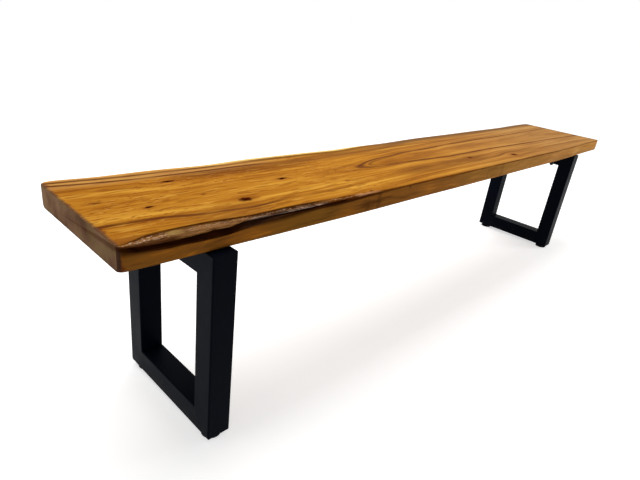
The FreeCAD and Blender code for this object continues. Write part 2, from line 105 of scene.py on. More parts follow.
# The bark groove under the lip: how deep it goes in, and how tall it is.
GROOVE_DEPTH_SHARES = [
    (-0.5, 0.25), (-0.49, 0.5), (-0.481, 0.7), (-0.471, 0.85), (-0.45, 1), (-0.425, 1), (-0.411, 0.9),
    (-0.395, 0.75), (-0.378, 0.6), (-0.35, 0.55), (-0.3, 0.5), (-0.28, 0.35), (-0.262, 0.1), (-0.23, 0.02),
    (0.5, 0.01),
]
GROOVE_HEIGHT_SHARES = [
    (-0.5, 0.38), (-0.481, 0.48), (-0.463, 0.57), (-0.453, 0.56), (-0.442, 0.71), (-0.425, 0.88),
    (-0.411, 0.73), (-0.396, 0.79), (-0.381, 0.62), (-0.371, 0.42), (-0.356, 0.25), (-0.322, 0.32),
    (-0.286, 0.31), (-0.266, 0.18), (-0.244, 0.08), (-0.2, 0.02), (0.5, 0.01),
]
# How bare and weathered the wane is along the length.
BARE_SHARES = [
    (-0.5, 0.6), (-0.49, 1), (-0.262, 1), (-0.23, 0.55), (-0.2, 0.1), (-0.18, 0), (0.5, 0),
]

# How finely the slab is divided along its length, and round its section.
ROUGH_END = -450 * MM
ROUGH_STEP = 3 * MM
SMOOTH_STEP = 10 * MM
CORNER_STEPS = 8
TOP_STEPS = 44
WANE_STEPS = 26
GROOVE_STEPS = 5
FACE_STEPS = 10
UNDER_STEPS = 24
ROUND_STEPS = 5
EASE_STEPS = 3
# The bolts and studs, as on the real M8 ones, and how finely they are divided.
BOLT_COUNT = 3
HEAD_DIA = 13 * MM
HEAD_HEIGHT = 8 * MM
KEY = 6 * MM
KEY_DEPTH = 4 * MM
BITE = 22 * MM
BEVEL = 1 * MM
M8_DIA = 8 * MM
M8_PITCH = 1.25 * MM
THREAD_DEPTH = 0.65 * MM
KNURL_TEETH = 32
KNURL_DEPTH = 0.3 * MM
KNURL_MARGIN = 1.4 * MM
STUD_PLAIN = 4 * MM
NEAR_AXIS = 0.1 * MM
HEAD_AROUND = 192
SHANK_AROUND = 30
THREAD_ROWS = 8
# Edges that turn by more than this many degrees stay sharp.
SLAB_SHARP = 50
SCREW_SHARP = 40

# Marks that the section's points carry down the wane and through the groove.
SHOULDER = 0.05
SOFT_SHOULDER = 0.12
LIP = 1.0
APEX = 2.0
FOOT = 3.0

# Where the tree's pith line ran beside the slab's middle line, along the length, as a share of the width.
PITH_PLACE_SHARES = [
    (-0.5, 0.061), (-0.457, 0.047), (-0.421, 0.003), (-0.389, -0.02), (-0.34, -0.029), (-0.246, -0.035),
    (-0.172, -0.025), (-0.138, -0.014), (-0.084, 0.0), (-0.044, 0.01), (-0.003, 0.004), (0.122, 0.016),
    (0.246, 0.005), (0.371, -0.006), (0.5, -0.016),
]
# How far below the top it ran, in shares of PITH_REACH.
PITH_REACH = 100 * MM
PITH_DEPTH_SHARES = [
    (-0.5, 0.86), (-0.421, 0.85), (-0.34, 0.845), (-0.246, 0.828), (-0.19, 0.812), (-0.172, 0.8),
    (-0.138, 0.762), (-0.084, 0.733), (-0.044, 0.693), (-0.003, 0.668), (0.122, 0.628), (0.246, 0.576),
    (0.371, 0.506), (0.5, 0.426),
]
# How far the grain wanders in long and in short bends, how far a knot pushes it aside, and how much the streaks
# change from ring to ring across the top.
SLOW_WANDER = 16 * MM
CLOSE_WANDER = 5 * MM
KNOT_PUSH = 0.55
RING_DRIFT = 0.12
# The rings that make the cathedral: how far from the pith line, width at the nose and at the right, darkness.
CATHEDRAL = {
    "outer": (80, 1.5, 4.6, 1), "inner": (77.6, 0.9, 1.8, 0.8), "faint": (83.4, 1, 2.4, 0.35),
}
# In x: its nose, where it starts to show to the left of that, and where its rings reach their full width.
CATHEDRAL_NOSE = -360
CATHEDRAL_START = -420
CATHEDRAL_OPEN = 140

# Dark growth lines that show on the top: places along them in x and y, width, darkness.
GROWTH_LINES = {
    "back_outer": ([(-1045, 156), (-991, 150), (-940, 143), (-889, 140), (-806, 139), (-731, 136), (-560, 131)],
                   8, 0.95),
    "back_inner": ([(-1045, 139), (-1000, 130), (-919, 120), (-858, 116), (-756, 113), (-643, 112), (-470, 104)],
                   8, 1),
    "back_band": ([(-860, 96), (-800, 93), (-723, 94), (-640, 90), (-560, 92), (-445, 95), (-300, 101),
                   (-150, 107), (110, 112)], 24, 0.5),
    "back_soft": ([(-1030, 91), (-999, 86), (-971, 77), (-922, 71), (-800, 62)], 7, 0.45),
    "back_thin": ([(-460, 108), (-330, 102), (-150, 98), (30, 100), (310, 97)], 7, 0.6),
    "back_faint": ([(-300, 74), (-150, 78), (30, 83), (310, 90), (680, 106), (1000, 110)], 6, 0.4),
    "front_left": ([(-1045, -69), (-954, -74), (-876, -92), (-811, -99), (-764, -100), (-620, -91)], 9, 1),
    "front_middle": ([(-700, -101), (-604, -105), (-511, -105), (-400, -100)], 7, 0.45),
    "front_low": ([(-860, -127), (-767, -123), (-640, -122)], 6, 0.4),
    "front_right": ([(-193, -100), (-78, -112), (47, -113), (168, -112), (300, -106), (540, -104)], 7, 0.6),
    "front_band": ([(-350, -92), (-200, -97), (-60, -99), (60, -98), (230, -94)], 44, 0.5),
    "front_corner": ([(-1045, -131), (-1000, -132), (-930, -139), (-850, -141)], 17, 0.6),
    "front_far": ([(380, -128), (600, -124), (800, -122), (1000, -122)], 7, 0.4),
}
# Over what length a line comes up at its start and fades out at its end.
LINE_START_FADE = 120
LINE_END_FADE = 150
# Knots: place in x and y, length and width of the dark heart, darkness.
KNOTS = [
    (-841, 82, 36, 11, 1), (-937, -26, 20, 11, 1), (-1004, 28, 26, 9, 0.6), (-614, 0, 30, 13, 1),
    (-764, -69, 34, 22, 1), (-820, -11, 8, 7, 0.7), (-483, -76, 14, 9, 0.6), (-488, -150, 13, 9, 0.8),
    (70, -83, 22, 15, 0.8), (286, -126, 34, 22, 0.85), (616, 27, 12, 8, 0.3),
]
# How ragged their outlines are, along the grain and across it.
KNOT_RAGGED_ALONG = 26 * MM
KNOT_RAGGED_ACROSS = 9 * MM
# Small upright cracks and stains on the front face: place in x, width, lowest height below the top, darkness.
FRONT_MARKS = [
    (-356, 2.5, 9, 0.9), (-470, 10, 44, 0.35), (-506, 4, 44, 0.12), (34, 3, 44, 0.2), (125, 14, 44, 0.18),
]

# The wood's noises: how long and how wide their patches are in millimetres, detail, roughness, seed.
GRAIN = {
    "slow": (450, 140, 1.5, 0.4), "close": (140, 22), "streak": (200, 7, 3, 0.6, 31), "patchy": (90, 25, 2, 0.5, 19),
    "blotch": (120, 12, 3, 0.6, 61), "broad": (900, 16, 2, 0.55, 2), "ring_streak": (340, 6, 3, 0.6, 3),
    "cloud": (400, 70, 2, 0.5, 7), "fibre": (60, 2.2, 2, 0.6), "dash": (55, 8, 1.5, 0.5, 11),
    "gleam": (65, 7, 1.5, 0.5, 23), "cluster": (260, 70, 1, 0.5, 47), "dark_tick": (17, 4.5, 1, 0.5, 53),
    "pale_tick": (17, 4.5, 1, 0.5, 59), "knot_along": (9, 3, 2, 0.6, 41), "knot_across": (14, 5, 2, 0.6, 43),
    "soaked": (1000, 26, 2, 0.6, 37), "end_pores": (1000, 1.1, 2, 0.6, 5), "end_cloud": (1000, 60, 2, 0.5, 9),
    "end_ring": (3000, 4, 2, 0.5, 13), "end_olive": (1000, 34, 2, 0.5, 67), "wane_fibre": (20, 1.6, 3, 0.65, 17),
    "fleck": (6, 2, 2, 0.6, 29),
}
# How ragged the edges of the wood's stains are, and how deep the finish soaks in at the ends.
RAGGED_EDGE = 9 * MM
SOAKED_DEPTH = 50 * MM

# What stains the wood, and the painted shade, shadow and highlights laid on it in the same way: the tint as 0 to
# 255 screen values, and how strongly it covers.
STAINS = {
    "dash": ((126, 62, 10), 0.5), "gleam": ((222, 166, 68), 0.45),
    "dark_tick": ((132, 68, 12), 0.8), "pale_tick": ((224, 166, 80), 0.3),
    "pale_back": ((184, 138, 88), 0.45), "growth_line": ((92, 44, 10), 0.95),
    "inside_sapwood": ((112, 70, 22), 0.75), "dull_back": ((112, 76, 40), 0.85),
    "knot_ring": ((136, 66, 14), 0.55), "knot_heart": ((58, 14, 4), 1),
    "under_lip": ((40, 16, 5), 0.9), "below_groove": ((62, 30, 8), 0.75),
    "low_right": ((140, 98, 52), 0.35), "lower_edge": ((70, 40, 12), 0.45), "rim": ((104, 48, 24), 0.75),
    "near_corner": ((150, 84, 24), 0.5), "left_arris": ((100, 76, 56), 0.6),
    "right_rim": ((98, 74, 48), 0.6), "corner": ((66, 46, 36), 0.9),
    "end_olive": ((122, 102, 62), 0.4), "end_grain_rim": ((58, 46, 36), 0.5),
    "fleck": ((214, 180, 150), 0.8), "wane_olive": ((156, 126, 68), 0.7),
    "wane_hollow": ((62, 38, 26), 0.7), "rubbed_roll": ((212, 156, 112), 0.7),
}
TOP_SHADE = (126, 74, 26)
FRONT_MARK = (60, 28, 8)
# The painted shadow line along the front face's top arris.
FRONT_ARRIS = (104, 54, 10)
# Along the back edge: the sapwood's width, its tint at the left end and further right, how strongly it covers,
# and how strongly the rear face's own tones do. The pale tint is partly a painted highlight along the edge.
SAPWOOD_WIDTH = 12 * MM
SAPWOOD_TINTS = ((214, 158, 70), (238, 204, 122))
SAPWOOD_COVER = 0.85
REAR_COVER = 0.75
# On the front face: an olive cast at the left and at the right, and how strongly it and the face's tones cover.
OLIVE_TINTS = ((132, 98, 34), (202, 148, 72))
OLIVE_COVER = 0.4
FRONT_COVER = 0.95
# How strongly the oiled wood mirrors its surroundings: next to not at all.
OIL_SHEEN = 0.005

# Tones from dark to pale, as (place, screen values).
GOLDEN_TONES = [
    (0.36, (114, 60, 10)), (0.43, (148, 88, 18)), (0.48, (171, 108, 26)), (0.53, (186, 123, 34)),
    (0.61, (210, 152, 54)),
]
PALER_TONES = [
    (0.36, (136, 88, 40)), (0.44, (158, 109, 54)), (0.5, (173, 123, 64)), (0.56, (186, 138, 76)),
    (0.64, (202, 160, 100)),
]
REAR_TONES = [(0.36, (122, 76, 30)), (0.5, (176, 126, 58)), (0.64, (214, 170, 96))]
FRONT_TONES = (
    [(0.4, (104, 60, 22)), (0.46, (142, 90, 36)), (0.52, (158, 97, 33)), (0.58, (194, 118, 36))],
    [(0.4, (176, 114, 50)), (0.46, (200, 137, 68)), (0.52, (211, 148, 78)), (0.58, (228, 170, 100))],
)
END_TONES = [(0.4, (98, 70, 52)), (0.5, (123, 93, 70)), (0.6, (138, 108, 82))]
# Painted light and shade on the wane's worn relief: dark in its furrows, pale on its ridges.
RIDGE_TONES = [(0.34, (120, 112, 104)), (0.5, (226, 222, 218)), (0.62, (255, 255, 255))]
# The wane's tones from its shoulder to its lip, by share of the way to the groove's foot. Each set takes over
# between two places along the bench: flecked, broad and pale, dark with a pale lip, and brown where it runs out.
# The pale lip is weathered grey wood with a painted highlight along it.
WANE_TONES = (
    (0, 0, [(0.0, (76, 38, 8)), (0.045, (84, 44, 14)), (0.08, (146, 98, 52)), (0.12, (170, 124, 78)),
            (0.165, (122, 80, 44)), (0.21, (92, 56, 28)), (0.325, (74, 40, 18))]),
    (-962, -938, [(0.0, (82, 42, 8)), (0.04, (94, 52, 14)), (0.067, (136, 92, 46)), (0.1, (164, 118, 72)),
                  (0.167, (158, 111, 65)), (0.233, (156, 111, 66)), (0.283, (124, 84, 40)), (0.325, (90, 56, 22))]),
    (-828, -800, [(0.0, (76, 40, 8)), (0.05, (84, 46, 14)), (0.1, (84, 52, 24)), (0.155, (106, 72, 46)),
                  (0.2, (205, 172, 145)), (0.25, (240, 212, 190)), (0.325, (242, 216, 194))]),
    (-680, -610, [(0.0, (140, 90, 36)), (0.1, (138, 86, 34)), (0.167, (104, 58, 18)), (0.325, (84, 42, 10))]),
)
GROOVE_TONES = [(0.345, (84, 38, 10)), (0.7, (78, 34, 8)), (0.92, (70, 34, 10)), (1.0, (62, 30, 9))]

# The camera, as fitted to the photo: place in metres, turns in radians, lens in millimetres.
CAMERA_PLACE = Vector((-1.31142, -0.75702, 0.76736))
CAMERA_YAW = -0.84107
CAMERA_PITCH = -0.41459
CAMERA_ROLL = 0.12733
CAMERA_LENS = 27.526

# How strongly the white room lights the object; the lamps give the rest.
ROOM_LIGHT = 0.32
# The lamps: where each stands, what it points at, width, height, watts.
LAMPS = {
    "overhead": ((0, 0.7, 2.6), (0, 0, 0.4), 3.4, 1.6, 66),
    "right_front": ((2.1, -1.3, 0.9), (0.9, 0, 0.4), 0.8, 0.6, 11),
    "left_side": ((-2.4, 0.5, 0.5), (-0.9, 0, 0.25), 0.8, 0.6, 5),
}
# The floor, and from what distance to what distance its glow rises, so that it turns to plain white.
FLOOR_REACH = 15
FLOOR_GLOW = (1.2, 3.5, 0.6, 0.85)
FLOOR_COLOUR = (0.8, 0.8, 0.8, 1)
WHITE = (1, 1, 1, 1)


# Curves

def smooth_curve(places, along=1, across=1):
    """The function whose graph runs smoothly through the places: a natural cubic spline."""
    x = np.array([place[0] for place in places]) * along
    y = np.array([place[1] for place in places]) * across
    step = np.diff(x)
    system = np.eye(len(x))
    load = np.zeros(len(x))
    for i in range(1, len(x) - 1):
        system[i, i - 1:i + 2] = step[i - 1], 2 * (step[i - 1] + step[i]), step[i]
        load[i] = 6 * ((y[i + 1] - y[i]) / step[i] - (y[i] - y[i - 1]) / step[i - 1])
    bend = np.linalg.solve(system, load)

    def value(at):
        i = min(max(int(np.searchsorted(x, at)) - 1, 0), len(x) - 2)
        before = (x[i + 1] - at) / step[i]
        after = 1 - before
        bow = (before ** 3 - before) * bend[i] + (after ** 3 - after) * bend[i + 1]
        return float(before * y[i] + after * y[i + 1] + bow * step[i] ** 2 / 6)

    return value


def straight_curve(places, along=1, across=1):
    """The function whose graph joins the places by straight lines."""
    x = [place[0] * along for place in places]
    y = [place[1] * across for place in places]
    return lambda at: float(np.interp(at, x, y))


front_edge = smooth_curve(FRONT_EDGE_SHARES, SLAB_LENGTH, SLAB_WIDTH)
rear_edge = smooth_curve(REAR_EDGE_SHARES, SLAB_LENGTH, SLAB_WIDTH)
wane_depth = smooth_curve(WANE_DEPTH_SHARES, SLAB_LENGTH, WANE_DEPTH)
wane_drop = straight_curve(WANE_DROP_SHARES, SLAB_LENGTH, WANE_DROP)
lip_back = straight_curve(LIP_BACK_SHARES, SLAB_LENGTH, LIP_BACK)
groove_depth = straight_curve(GROOVE_DEPTH_SHARES, SLAB_LENGTH, GROOVE_DEPTH)
groove_height = straight_curve(GROOVE_HEIGHT_SHARES, SLAB_LENGTH, GROOVE_HEIGHT)
bareness = straight_curve(BARE_SHARES, SLAB_LENGTH)


def rounding(radius, past):
    """How far a rounded corner falls back, at a distance past where its round starts."""
    past = min(max(past, 0), radius)
    return radius - math.sqrt(radius * radius - past * past)


# Meshes

def place_object(name, data):
    thing = bpy.data.objects.new(name, data)
    bpy.context.scene.collection.objects.link(thing)
    return thing


def new_object(name, vertices, faces, material):
    mesh = bpy.data.meshes.new(name)
    mesh.from_pydata(vertices, [], faces)
    mesh.materials.append(material)
    return place_object(name, mesh)


def rings_of_faces(count, around):
    """The faces that join rings of points, each ring to the next."""
    faces = []
    for ring in range(count - 1):
        low, high = ring * around, (ring + 1) * around
        for i in range(around):
            after = (i + 1) % around
            faces.append((low + i, low + after, high + after, high + i))
    return faces


def carry(mesh, numbers, domain="POINT"):
    """Gives a mesh numbers by name, one to each point or to each corner of a face."""
    for name, values in numbers.items():
        mesh.attributes.new(name, "FLOAT", domain).data.foreach_set("value", values)


def run(start, end, count, first_mark=0, last_mark=0):
    """Points from start up to but not including end, with a mark that goes evenly from first to last."""
    step = (last_mark - first_mark) / count
    return [(*start.lerp(end, i / count), first_mark + step * i) for i in range(count)]


def quarter(centre, radius, first, count):
    """A quarter round in the section's plane, anticlockwise from the first angle, without its end."""
    points = []
    for i in range(count):
        angle = first + math.pi / 2 * i / count
        points.append((centre.x + radius * math.cos(angle), centre.y + radius * math.sin(angle), 0))
    return points


def slab_section(x):
    """The slab's outline across the grain at x, from the rear of its top, round by the front.

    Each point is y, z and its mark: 0 on the top, SHOULDER to LIP down the wane, on to APEX at the back of
    the groove, and FOOT from where the groove meets the front face.
    """
    to_end = abs(x) - SLAB_LENGTH / 2
    front = front_edge(x) + rounding(FRONT_CORNER_ROUND, to_end + FRONT_CORNER_ROUND)
    rear = rear_edge(x) - rounding(REAR_CORNER_ROUND, to_end + REAR_CORNER_ROUND)
    top = SLAB_TOP
    low = SLAB_TOP - SLAB_THICK
    lip = Vector((front + lip_back(x), top - wane_drop(x)))
    apex = Vector((front + groove_depth(x), lip.y - groove_height(x) * GROOVE_APEX_SHARE))
    foot = Vector((front, lip.y - groove_height(x)))
    shoulder_y = max(front_edge(x) + wane_depth(x), lip.x + MM)

    start = WANE_START_SHARE * math.pi / 2
    slope = []
    for i in range(WANE_STEPS):
        angle = start + (math.pi / 2 - start) * i / WANE_STEPS
        across = (math.sin(angle) - math.sin(start)) / (1 - math.sin(start))
        down = (math.cos(start) - math.cos(angle)) / math.cos(start)
        mark = SHOULDER + (LIP - SHOULDER) * i / WANE_STEPS
        slope.append((shoulder_y + across * (lip.x - shoulder_y), top - down * (top - lip.y), mark))

    arris = Vector((shoulder_y + ARRIS_SEAM, top))
    outline = run(Vector((rear - REAR_ROUND, top)), arris, TOP_STEPS)
    outline += [(*arris, 0)] + slope
    outline += run(lip, apex, GROOVE_STEPS, LIP, APEX)
    outline += run(apex, foot, GROOVE_STEPS, APEX, FOOT)
    outline += run(foot, Vector((front, low + UNDER_ROUND)), FACE_STEPS, FOOT, FOOT)
    outline += quarter(Vector((front + UNDER_ROUND, low + UNDER_ROUND)), UNDER_ROUND, math.pi, ROUND_STEPS)
    outline += run(Vector((front + UNDER_ROUND, low)), Vector((rear - UNDER_ROUND, low)), UNDER_STEPS)
    outline += quarter(Vector((rear - UNDER_ROUND, low + UNDER_ROUND)), UNDER_ROUND, -math.pi / 2, ROUND_STEPS)
    outline += run(Vector((rear, low + UNDER_ROUND)), Vector((rear, top - REAR_ROUND)), FACE_STEPS)
    outline += quarter(Vector((rear - REAR_ROUND, top - REAR_ROUND)), REAR_ROUND, 0, ROUND_STEPS)

    ease = rounding(END_EASE, to_end + END_EASE)
    middle = (top + low) / 2
    shrink = 1 - ease / (SLAB_THICK / 2)
    return [(y, middle + (z - middle) * shrink, mark) for y, z, mark in outline]


def slab_stations():
    """Places along the slab, closer together along its rough part and round its corners."""
    half = SLAB_LENGTH / 2
    turn = [half - radius + radius * math.sin(math.pi / 2 * i / CORNER_STEPS)
            for radius in (FRONT_CORNER_ROUND, REAR_CORNER_ROUND) for i in range(1, CORNER_STEPS + 1)]
    ease = [half - END_EASE + END_EASE * i / EASE_STEPS for i in range(EASE_STEPS)]
    end = sorted(set(round(x, 6) for x in turn + ease))
    rough = np.arange(-half + REAR_CORNER_ROUND, ROUGH_END, ROUGH_STEP)
    even = np.arange(ROUGH_END, half - REAR_CORNER_ROUND, SMOOTH_STEP)
    return [-x for x in reversed(end)] + rough.tolist() + even.tolist() + end


def slab_mesh(material):
    """The slab as one closed skin: its sections along the length, and a cap at each end."""
    stations = slab_stations()
    vertices, marks, bares = [], [], []
    for x in stations:
        bare = bareness(x)
        section = slab_section(x)
        foot = [mark for y, z, mark in section].index(FOOT)
        for place, (y, z, mark) in enumerate(section):
            vertices.append((x, y, z))
            marks.append(mark)
            bares.append(bare if mark and place <= foot else 0)
    around = len(vertices) // len(stations)
    faces = rings_of_faces(len(stations), around)
    first_cap = len(faces)
    faces.append(tuple(reversed(range(around))))
    faces.append(tuple((len(stations) - 1) * around + j for j in range(around)))
    piece = new_object("slab", vertices, faces, material)
    mesh = piece.data
    end_grain = [0.0] * len(mesh.loops)
    for face in mesh.polygons[first_cap:]:
        for loop in face.loop_indices:
            end_grain[loop] = 1.0
    carry(mesh, {"mark": marks, "bare": bares})
    carry(mesh, {"end_grain": end_grain}, "CORNER")
    return piece


# Trees of nodes

class Value:
    """What a node gives out: a number, place, colour or shape. A sum with it adds a node to its tree."""

    def __init__(self, socket):
        self.socket = socket
        self.tree = socket.id_data

    def __add__(self, other):
        return calc("ADD", self, other)

    def __sub__(self, other):
        return calc("SUBTRACT", self, other)

    def __rsub__(self, other):
        return calc("SUBTRACT", other, self)

    def __mul__(self, other):
        return calc("MULTIPLY", self, other)

    def __truediv__(self, other):
        return calc("DIVIDE", self, other)

    def __rtruediv__(self, other):
        return calc("DIVIDE", other, self)

    def __abs__(self):
        return calc("ABSOLUTE", self)


def join(socket, value):
    """Gives an input what another node gives out, or a plain value."""
    if isinstance(value, Value):
        value.tree.links.new(value.socket, socket)
    else:
        socket.default_value = value


def add_node(tree, kind, inputs=None, **settings):
    node = tree.nodes.new(kind)
    for name, setting in settings.items():
        setattr(node, name, setting)
    for key, value in (inputs or {}).items():
        join(node.inputs[key], value)
    return node


def value_of(tree, kind, inputs=None, output=0, **settings):
    """What a new node gives out."""
    return Value(add_node(tree, kind, inputs, **settings).outputs[output])


def values_of(node):
    """All that a node gives out, by name."""
    return {socket.name: Value(socket) for socket in node.outputs if socket.name}


def tree_of(values):
    return next(value.tree for value in values if isinstance(value, Value))


def calc(operation, *terms):
    """One sum."""
    return value_of(tree_of(terms), "ShaderNodeMath", dict(enumerate(terms)), operation=operation)


def most(first, *others):
    """The largest of several numbers."""
    for other in others:
        first = calc("MAXIMUM", first, other)
    return first


def fade(value, start, end, low=0.0, high=1.0):
    """Goes smoothly from low to high as the value goes from start to end."""
    return value_of(value.tree, "ShaderNodeMapRange", {
        "Value": value, "From Min": start, "From Max": end, "To Min": low, "To Max": high,
    }, "Result", interpolation_type="SMOOTHSTEP")


def fade_mm(length, start, end, low=0.0, high=1.0):
    """The same for a length, with its start and end in millimetres."""
    return fade(length, start * MM, end * MM, low, high)


def span(length, start, full, thin, end):
    """1 from full to thin, fading out to 0 at start and at end, in millimetres."""
    return fade_mm(length, start, full) * fade_mm(length, end, thin)


def linear(red, green, blue):
    """A colour from its 0 to 255 screen values."""
    def part(value):
        value /= 255
        return value / 12.92 if value <= 0.04045 else ((value + 0.055) / 1.055) ** 2.4
    return (part(red), part(green), part(blue), 1)


def blend(factor, first, second, mode="MIX"):
    """One colour over another; a plain one is given by its screen values."""
    node = add_node(tree_of((factor, first, second)), "ShaderNodeMix", data_type="RGBA", blend_type=mode)
    for key, value in (("Factor", factor), ("A", first), ("B", second)):
        socket = next(s for s in node.inputs if s.name == key and s.enabled)
        join(socket, linear(*value) if isinstance(value, tuple) else value)
    return Value(next(s for s in node.outputs if s.enabled))


def stained(colour, **masks):
    """A colour with some of the table's stains, painted shade and painted highlights laid over it in turn, each
    where its mask is 1.
    """
    for stain, mask in masks.items():
        tint, cover = STAINS[stain]
        colour = blend(mask * cover, colour, tint)
    return colour


def shade_of(value, tones):
    """A colour that follows a number through tones given as (place, screen values)."""
    node = add_node(value.tree, "ShaderNodeValToRGB", {"Fac": value})
    ramp = node.color_ramp
    while len(ramp.elements) < len(tones):
        ramp.elements.new(0.5)
    for element, (place, tone) in zip(ramp.elements, tones):
        element.position = place
        element.color = linear(*tone)
    return Value(node.outputs["Color"])


def curve_of(along, places):
    """A number that follows a curve through the places, all as shares from 0 to 1."""
    node = add_node(along.tree, "ShaderNodeFloatCurve", {"Value": along})
    points = node.mapping.curves[0].points
    while len(points) < len(places):
        points.new(0.5, 0.5)
    for point, (x, y) in zip(points, places):
        point.location = (x, y)
        point.handle_type = "AUTO"
    node.mapping.update()
    return Value(node.outputs[0])


def patches(places, length, width, detail=2, roughness=0.5, seed=0):
    """Noise whose patches are about this long along X and this wide across it, in millimetres."""
    stretch = (1 / (length * MM), 1 / (width * MM), 1 / (width * MM))
    mapped = value_of(places.tree, "ShaderNodeMapping", {
        "Vector": places, "Scale": stretch, "Location": (seed, seed, seed),
    })
    return value_of(places.tree, "ShaderNodeTexNoise", {
        "Vector": mapped, "Scale": 1.0, "Detail": detail, "Roughness": roughness,
    }, "Fac")


def grain(places, name):
    """One of the wood's noises."""
    return patches(places, *GRAIN[name])


def axes_of(places):
    """The X, Y and Z of a place."""
    return list(values_of(add_node(places.tree, "ShaderNodeSeparateXYZ", {0: places})).values())


def carried(tree, name):
    """A number that the slab's mesh carries."""
    return value_of(tree, "ShaderNodeAttribute", output="Fac", attribute_name=name)


def empty_tree(owner):
    """The tree of a material or world, emptied."""
    owner.use_nodes = True
    owner.node_tree.nodes.clear()
    return owner.node_tree


def new_material(name):
    """A material, its shader, and the object's own places in its tree."""
    material = bpy.data.materials.new(name)
    tree = empty_tree(material)
    shader = add_node(tree, "ShaderNodeBsdfPrincipled")
    add_node(tree, "ShaderNodeOutputMaterial", {"Surface": Value(shader.outputs[0])})
    return material, shader, value_of(tree, "ShaderNodeTexCoord", output="Object")


def dress(shader, inputs, relief, depth, strength=1.0):
    """Joins a shader's inputs and gives its surface a fine relief."""
    bump = value_of(relief.tree, "ShaderNodeBump", {"Height": relief, "Distance": depth, "Strength": strength})
    for key, value in {**inputs, "Normal": bump}.items():
        join(shader.inputs[key], value)


# The slab's oiled hardwood

def across_at(along, shares):
    """How far across the slab a line lies that is given by its shares of length and width."""
    return (curve_of(along, [(px + 0.5, py + 0.5) for px, py in shares]) - 0.5) * SLAB_WIDTH


def slab_places(places):
    """Where a point lies on the slab, and the noises that several of its looks share."""
    x, y, z = axes_of(places)
    along = x / SLAB_LENGTH + 0.5
    down = SLAB_TOP - z
    return SimpleNamespace(
        places=places, tree=places.tree, x=x, y=y, z=z, along=along,
        down=down, up=z - SLAB_LOW.z, from_left=x - SLAB_LOW.x, from_right=SLAB_HIGH.x - x,
        from_front=y - across_at(along, FRONT_EDGE_SHARES), from_rear=across_at(along, REAR_EDGE_SHARES) - y,
        upright=fade_mm(down, 1, 4),
        slow=grain(places, "slow"),
        blotch=grain(places, "blotch"),
        ragged=(grain(places, "streak") - 0.5) * RAGGED_EDGE,
        patchy=fade(grain(places, "patchy"), 0.3, 0.55, 0.65, 1.0),
    )


def knot_group():
    """How dark a knot is at a place, the brown ring round it, and how far it pushes the grain aside."""
    group = bpy.data.node_groups.new("small_knot", "ShaderNodeTree")
    for name in ("X", "Y", "Place X", "Place Y", "Length", "Width"):
        group.interface.new_socket(name, in_out="INPUT", socket_type="NodeSocketFloat")
    for name in ("Dark", "Ring", "Push"):
        group.interface.new_socket(name, in_out="OUTPUT", socket_type="NodeSocketFloat")
    given = values_of(add_node(group, "NodeGroupInput"))
    along = (given["X"] - given["Place X"]) / given["Length"]
    across = (given["Y"] - given["Place Y"]) / given["Width"]
    square = along * along + across * across
    add_node(group, "NodeGroupOutput", {
        "Dark": fade(square, 0.3, 0.03), "Ring": calc("EXPONENT", square * -1.6),
        "Push": across * calc("EXPONENT", square * -0.35) * given["Width"],
    })
    return group


def knots_at(at):
    """The darkness, brown rings and push of all the knots together, with ragged outlines."""
    group = knot_group()
    x = (grain(at.places, "knot_along") - 0.5) * KNOT_RAGGED_ALONG + at.x
    y = (grain(at.places, "knot_across") - 0.5) * KNOT_RAGGED_ACROSS + at.y
    darks, brown_rings, push = [], [], 0.0
    for place_x, place_y, length, width, darkness in KNOTS:
        node = add_node(at.tree, "ShaderNodeGroup", node_tree=group)
        inputs = {"X": x, "Y": y, "Place X": place_x * MM, "Place Y": place_y * MM,
                  "Length": length * MM, "Width": width * MM}
        for name, value in inputs.items():
            join(node.inputs[name], value)
        knot = values_of(node)
        darks.append(knot["Dark"] * darkness)
        brown_rings.append(knot["Ring"] * darkness)
        push = knot["Push"] + push
    return most(*darks), most(*brown_rings), push


def among_rings(at, push):
    """How far a point is from the pith line, and where its growth ring comes up through the top face."""
    wander = (at.slow - 0.5) * SLOW_WANDER + (grain(at.places, "close") - 0.5) * CLOSE_WANDER
    centre = across_at(at.along, PITH_PLACE_SHARES)
    depth = curve_of(at.along, [(px + 0.5, share) for px, share in PITH_DEPTH_SHARES]) * PITH_REACH
    aside = at.y + wander - (push * KNOT_PUSH + centre)
    above = at.z - SLAB_TOP + depth
    square = aside * aside + above * above
    reach = calc("SQRT", most(square - depth * depth, 0.0))
    return calc("SQRT", square), reach * calc("SIGN", aside) + centre


def growth_lines_at(at, outcrop):
    """The strong dark lines on the top, each fading out at its ends."""
    lines = []
    for places, width, darkness in GROWTH_LINES.values():
        shares = [(px * MM / SLAB_LENGTH, py * MM / SLAB_WIDTH) for px, py in places]
        off = outcrop - across_at(at.along, shares)
        body = fade_mm(off, -width * 0.7, -width * 0.2) * darkness * fade_mm(off, width, width * 0.3)
        first, last = places[0][0], places[-1][0]
        if first * MM > SLAB_LOW.x + MM:
            body = body * fade_mm(at.x, first, first + LINE_START_FADE)
        lines.append(body * fade_mm(at.x, last, last - LINE_END_FADE))
    return most(*lines)


def cathedral_at(at, radius):
    """The pointed arch of dark rings in the slab's middle, wider away from its nose."""
    lines = []
    opening = fade_mm(at.x, CATHEDRAL_NOSE, CATHEDRAL_OPEN)
    for ring, nose_width, far_width, darkness in CATHEDRAL.values():
        width = opening * ((far_width - nose_width) * MM) + nose_width * MM
        off = (radius - ring * MM) / width
        body = fade(off, -1.1, -0.1) * fade(off, 0.9, 0.1) * darkness
        lines.append(body * fade_mm(at.x, CATHEDRAL_START, CATHEDRAL_NOSE))
    return most(*lines)


